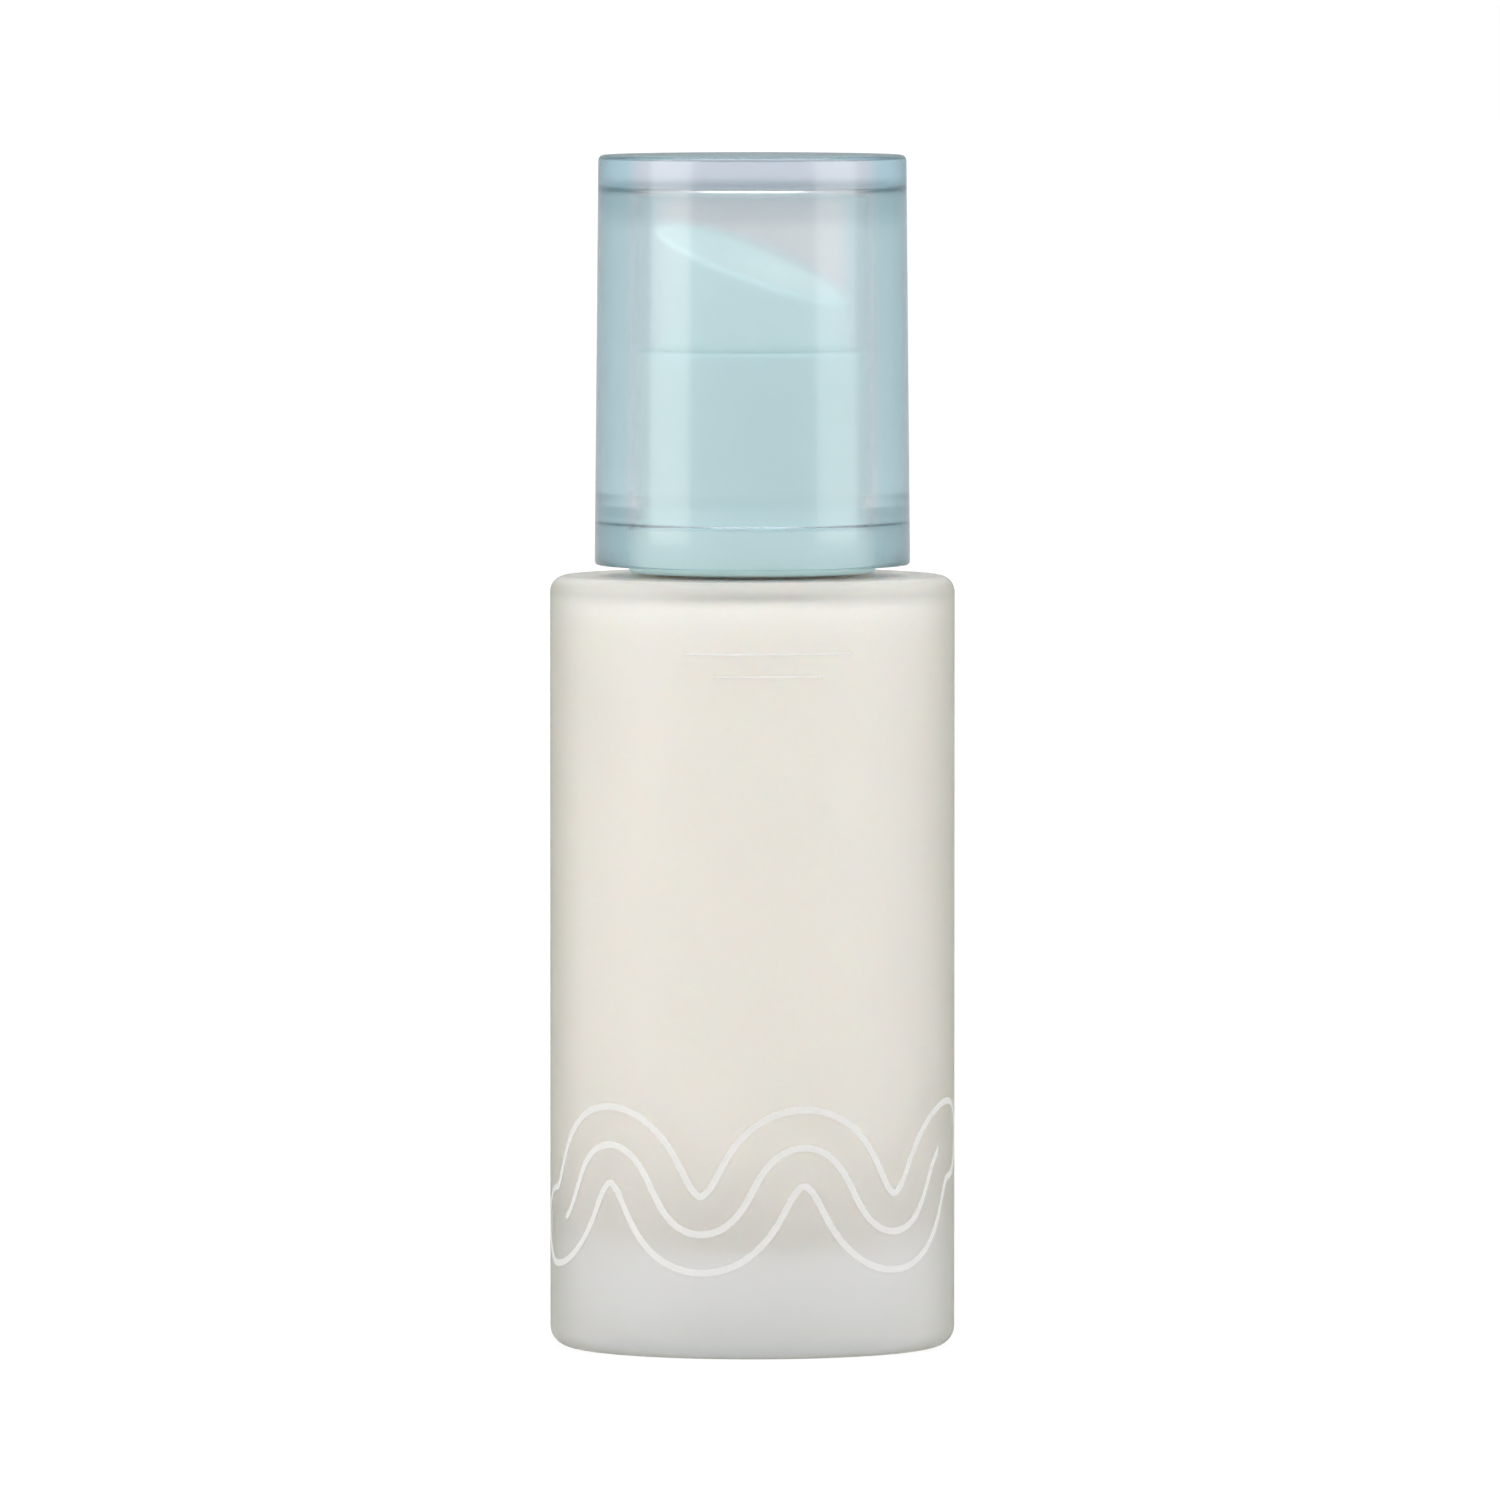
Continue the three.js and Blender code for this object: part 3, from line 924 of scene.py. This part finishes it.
def housingOutline(low, high):
    p = pump
    step = highOf("neck_gasket") + 0.05
    seat = p["seatHeight"]
    return [
        (p["spigotBore"], low, 0.05),
        (p["spigot"], low, 0.2),
        (p["spigot"], p["spigotTop"], 0.8),
        (p["barrel"], p["barrelFoot"], 0.8),
        (p["barrel"], step, 0.08),
        (p["flange"], step, 0.08),
        (p["flange"], high, 0.25),
        (p["barrelBore"], high, 0.15),
        (p["barrelBore"], p["springSeat"] - 1.5, 0.1),
        (2.05, p["springSeat"] - 1.5, 0.1),
        (2.05, seat + 1.15, 0.1),
        (p["seatHole"], seat, 0.08),
        (p["seatHole"], highOf("dip_tube") + 0.1, 0.05),
        (p["spigotBore"], highOf("dip_tube") + 0.1, 0.05),
    ]


def cageOutline(low, high):
    bore, outer, mouth = pump["cageBore"], pump["cage"], 1.0
    lip = high - 0.35
    return [
        (bore, low, 0.08),
        (outer, low, 0.15),
        (outer, high, 0.15),
        (mouth, high, 0.1),
        (mouth, lip, 0.05),
        (bore, lip, 0.05),
    ]


def pistonOutline(low, high):
    bore, lip = pump["guideBore"], pump["barrelBore"] - 0.06
    waist, rim, flare = 2.85, 2.9, 0.8
    return [
        (bore, low + 0.3, 0.08),
        (2.5, low, 0.1),
        (rim, low, 0.05),
        (lip, low + 0.1, 0.04),
        (waist, low + flare, 0.3),
        (waist, high - flare, 0.3),
        (lip, high - 0.1, 0.04),
        (rim, high, 0.05),
        (bore, high, 0.08),
    ]


def stemOutline(low, high):
    p = pump
    foot = highOf("piston") + 0.65
    return [
        (p["stemBore"], low, 0.05),
        (p["stem"], low, 0.1),
        (p["stem"], foot, 0.1),
        (p["shoulder"], foot, 0.12),
        (p["shoulder"], foot + 0.6, 0.12),
        (p["stem"], foot + 0.6, 0.1),
        (p["stem"], high, 0.3),
        (p["stemBore"], high, 0.08),
    ]


def guideOutline(low, high):
    plug, flange = pump["barrelBore"] - 0.1, 3.9
    seat = highOf("pump_housing") + 0.05
    return [
        (pump["guideBore"], low, 0.1),
        (plug, low, 0.3),
        (plug, seat, 0.05),
        (flange, seat, 0.08),
        (flange, high, 0.3),
        (pump["guideBore"], high, 0.1),
    ]


def gasketOutline(low, high):
    bore, outer = 4.8, 6.45
    return [(bore, low, 0.15), (outer, low, 0.2), (outer, high, 0.2), (bore, high, 0.15)]


def tubeOutline(low, high):
    bore, outer = 1.0, 1.45
    middle = low + outer * pump["tubeSlant"]  # the slanted end crosses the axis here
    return [(bore, middle, 0.0, 1.0), (outer, middle, 0.0, 1.0), (outer, high, 0.1), (bore, high, 0.08)]


def tubeLean(angle, radius):
    return pump["tubeSlant"] * radius * math.cos(angle)


turnedNodes = {
    # CAD node: (name, body, slot, finish, outline)
    "pump_housing": ("housing_barrel", "pump_engine", "natural_plastic", "natural", housingOutline),
    "ball_cage": ("cage_insert", "pump_engine", "natural_plastic", "natural", cageOutline),
    "piston": ("piston_cup", "piston", "soft_plastic", "soft", pistonOutline),
    "pump_stem": ("stem_tube", "plunger", "natural_plastic", "natural", stemOutline),
    "stem_guide": ("guide_plug", "pump_engine", "natural_plastic", "natural", guideOutline),
    "neck_gasket": ("gasket_ring", "pump_engine", "gasket_foam", "foam", gasketOutline),
    "dip_tube": ("suction_tube", "pump_engine", "natural_plastic", "natural", tubeOutline),
}


def makeTurnedPump():
    for cadNode, (name, body, slot, look, outline) in turnedNodes.items():
        corners = outline(lowOf(cadNode), highOf(cadNode))
        piece = turnedPiece(name, corners, 96, closed=True, lean=tubeLean)
        finish(piece, body, slot, look, replaces=cadNode)


def makeInletBall():
    low, high = lowOf("inlet_ball"), highOf("inlet_ball")
    size, middle = (high - low) / 2, (high + low) / 2
    arc = [math.pi * (k / 24 - 0.5) for k in range(25)]
    corners = [(size * math.cos(turn), middle + size * math.sin(turn)) for turn in arc]
    corners[0], corners[-1] = (0, low), (0, high)
    ball = turnedPiece("valve_ball", corners, 48)
    finish(ball, "inlet_ball", "spring_steel", "ball", replaces="inlet_ball")


def makeValveRod():
    low, high = lowOf("valve_rod"), highOf("valve_rod")
    pin, head = pump["stemBore"] - 0.08, 2.75
    headTop = high - 2.05
    headFoot = headTop - 0.95
    corners = [
        (0, low),
        (1.2, low, 0.2),
        (1.6, headFoot, 0.1),
        (head, headFoot, 0.15),
        (head, headTop, 0.3),
        (pin, headTop, 0.1),
        (pin, high, 0.12),
        (0, high),
    ]
    rod = turnedPiece("outlet_rod", corners, 72)
    wide, deep = 0.25 * mm, 1.5 * mm
    levels = ((headTop + 0.2) * mm, (high + 1) * mm)
    around = ((-wide, -deep), (wide, -deep), (wide, deep), (-wide, deep))
    spots = [(x, y, z) for z in levels for x, y in around]
    sides = [(0, 3, 2, 1), (4, 5, 6, 7), (0, 1, 5, 4), (1, 2, 6, 5), (2, 3, 7, 6), (3, 0, 4, 7)]
    cutFrom(rod, meshPiece("rod_slot", spots, sides))
    finish(rod, "plunger", "natural_plastic", "natural", replaces="valve_rod")


def makeSpring():
    p = pump
    low = p["springSeat"] + 0.05 + p["wire"]
    high = highOf("return_spring") - p["wire"]
    openPitch = (high - low - 2 * p["closedPitch"]) / (p["turns"] - 2)

    def rise(turn):
        if turn < 1:
            return p["closedPitch"] * turn
        if turn > p["turns"] - 1:
            return high - low - p["closedPitch"] * (p["turns"] - turn)
        return p["closedPitch"] + openPitch * (turn - 1)

    around, steps = 14, round(p["turns"] * 40)
    vertices, faces = [], []
    for k in range(steps + 1):
        turn = p["turns"] * k / steps
        angle = 2 * math.pi * turn
        for j in range(around):
            across = 2 * math.pi * j / around
            radius = p["coil"] + p["wire"] * math.cos(across)
            height = low + rise(turn) + p["wire"] * math.sin(across)
            vertices.append((radius * math.cos(angle) * mm, radius * math.sin(angle) * mm, height * mm))
    for k in range(steps):
        for j in range(around):
            n = (j + 1) % around
            faces.append((k * around + j, k * around + n, (k + 1) * around + n, (k + 1) * around + j))
    faces += [tuple(range(around)), tuple(steps * around + j for j in range(around))]
    spring = meshPiece("coil_spring", vertices, faces, 50)
    finish(spring, "pump_engine", "spring_steel", "wire", replaces="return_spring")
    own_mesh(spring)


makeTurnedPump()
makeInletBall()
makeValveRod()
makeSpring()
carrier = frame["nodes"]["button_core"].data  # the ribbed carrier keeps its moulded shape
carrier.materials.clear()
carrier.materials.append(finishes["natural"])
smoothShade(carrier)
print("pump made:", len(turnedNodes) + 4, "pieces")


studio = {
    "floorSize": 12.0,
    "floorShadedNear": 0.14,  # painted shade: the floor is darker near the object, as its glass and plastic see it
    "floorFar": 0.23,
    "floorGlow": 0.45,  # light of its own, as on a light table
    "floorSeen": 0.85,  # the same, as the camera sees it
    "shined": ("glass_body", "overcap_shell", "floor"),
    "lights": {
        # name: (place, size across, size high, power, colour)
        "leftBox": ((-0.57, -0.28, 0.24), 0.42, 0.80, 3.4, (1.0, 0.99, 0.975)),
        "rightBox": ((0.57, -0.26, 0.24), 0.42, 0.80, 2.8, (0.985, 0.99, 1.0)),
        "topBox": ((0.0, 0.05, 0.75), 0.6, 0.6, 1.8, (1.0, 1.0, 1.0)),
    },
    "walls": {
        "front": 0.74,
        "back": 0.50,
        "openLift": 0.3,  # added to the light that falls on matt surfaces
        "coveredLift": 0.77,  # the same behind glass, which holds some of it back
        "tint": (0.88, 0.97, 1.0),
    },
}


def aimAt(thing, target):
    thing.rotation_mode = "QUATERNION"
    thing.rotation_quaternion = (Vector(target) - thing.location).to_track_quat("-Z", "Y")


def makeFloor():
    half = studio["floorSize"] / 2
    corners = [(-half, -half, 0), (half, -half, 0), (half, half, 0), (-half, half, 0)]
    mesh = bpy.data.meshes.new("floor")
    mesh.from_pydata(corners, [], [(0, 1, 2, 3)])
    floor = bpy.data.objects.new("floor", mesh)
    scene.collection.objects.link(floor)
    paper, tree, shader = startMaterial("palePaper", Roughness=0.95, Specular_IOR_Level=0.1)
    paper.cycles.emission_sampling = "NONE"
    place = tree.nodes.new("ShaderNodeTexCoord")
    away = node(tree, "ShaderNodeVectorMath", operation="LENGTH")
    tree.links.new(place.outputs["Object"], away.inputs[0])
    # painted shade: the floor colour is darker near the object than far from it
    pale = mapRange(tree, away.outputs["Value"], 0.15, 0.9, studio["floorShadedNear"], studio["floorFar"])
    tree.links.new(pale, shader.inputs["Base Color"])
    ray = tree.nodes.new("ShaderNodeLightPath")
    glow = tree.nodes.new("ShaderNodeEmission")
    glows = studio["floorGlow"], studio["floorSeen"]
    strength = mapRange(tree, ray.outputs["Is Camera Ray"], 0.0, 1.0, *glows)
    tree.links.new(strength, glow.inputs["Strength"])
    both = tree.nodes.new("ShaderNodeAddShader")
    tree.links.new(shader.outputs[0], both.inputs[0])
    tree.links.new(glow.outputs[0], both.inputs[1])
    tree.links.new(both.outputs[0], tree.nodes["Material Output"].inputs["Surface"])
    mesh.materials.append(paper)


def makeLights():
    # the side boxes shine on the glossy skins, and the walls light what is under them
    shined = bpy.data.collections.new("shined")
    for piece in scene.objects:
        if piece.name in studio["shined"] or piece.name.startswith("printed"):
            shined.objects.link(piece)
    for name, (place, across, high, power, color) in studio["lights"].items():
        data = bpy.data.lights.new(name, "AREA")
        data.shape = "RECTANGLE"
        data.size, data.size_y = across, high
        data.energy = power
        data.color = color
        lamp = bpy.data.objects.new(name, data)
        scene.collection.objects.link(lamp)
        lamp.location = place
        aimAt(lamp, (0, 0, 0.05))
        lamp.visible_camera = False
        lamp.visible_transmission = name == "topBox"
        if name != "topBox":
            lamp.light_linking.receiver_collection = shined


def makeSky():
    walls = studio["walls"]
    world = bpy.data.worlds.new("studioWalls")
    scene.world = world
    world.use_nodes = True
    world.cycles.sampling_method = "NONE"  # its light depends on the path that a ray took
    tree = world.node_tree
    background = tree.nodes["Background"]
    place = tree.nodes.new("ShaderNodeTexCoord")
    split = tree.nodes.new("ShaderNodeSeparateXYZ")
    tree.links.new(place.outputs["Generated"], split.inputs[0])
    strength = mapRange(tree, split.outputs["Y"], -1.0, 0.9, walls["front"], walls["back"])
    ray = tree.nodes.new("ShaderNodeLightPath")
    lit = maths(tree, "MINIMUM", ray.outputs["Diffuse Depth"], 1.0)  # 1 once a matt surface is met
    covered = maths(tree, "MINIMUM", ray.outputs["Transmission Depth"], 1.0)
    amount = mapRange(tree, covered, 0.0, 1.0, walls["openLift"], walls["coveredLift"])
    lift = maths(tree, "MULTIPLY", lit, amount)
    seen = maths(tree, "MAXIMUM", maths(tree, "ADD", strength, lift), ray.outputs["Is Camera Ray"])
    tree.links.new(seen, background.inputs["Strength"])
    plain = maths(tree, "MAXIMUM", lit, ray.outputs["Is Camera Ray"])
    behind = mapRange(tree, split.outputs["Y"], 0.2, 0.9)
    white, tint = (1.0, 1.0, 1.0), walls["tint"]
    color = mixColors(tree, plain, mixColors(tree, behind, white, tint), white)
    tree.links.new(color, background.inputs["Color"])


cameraPlace = {"distance": 1.6, "height": 0.130, "aim": 0.0501, "side": -0.0002, "lens": 457.5}


def makeCamera():
    data = bpy.data.cameras.new("camera")
    data.lens = cameraPlace["lens"]
    data.sensor_width = 36
    data.clip_start, data.clip_end = 0.05, 50
    camera = bpy.data.objects.new("camera", data)
    scene.collection.objects.link(camera)
    camera.location = (cameraPlace["side"], -cameraPlace["distance"], cameraPlace["height"])
    aimAt(camera, (cameraPlace["side"], 0, cameraPlace["aim"]))
    scene.camera = camera


makeFloor()
makeLights()
makeSky()
makeCamera()
scene.view_settings.view_transform = "Standard"
scene.view_settings.look = "None"
print("studio ready")
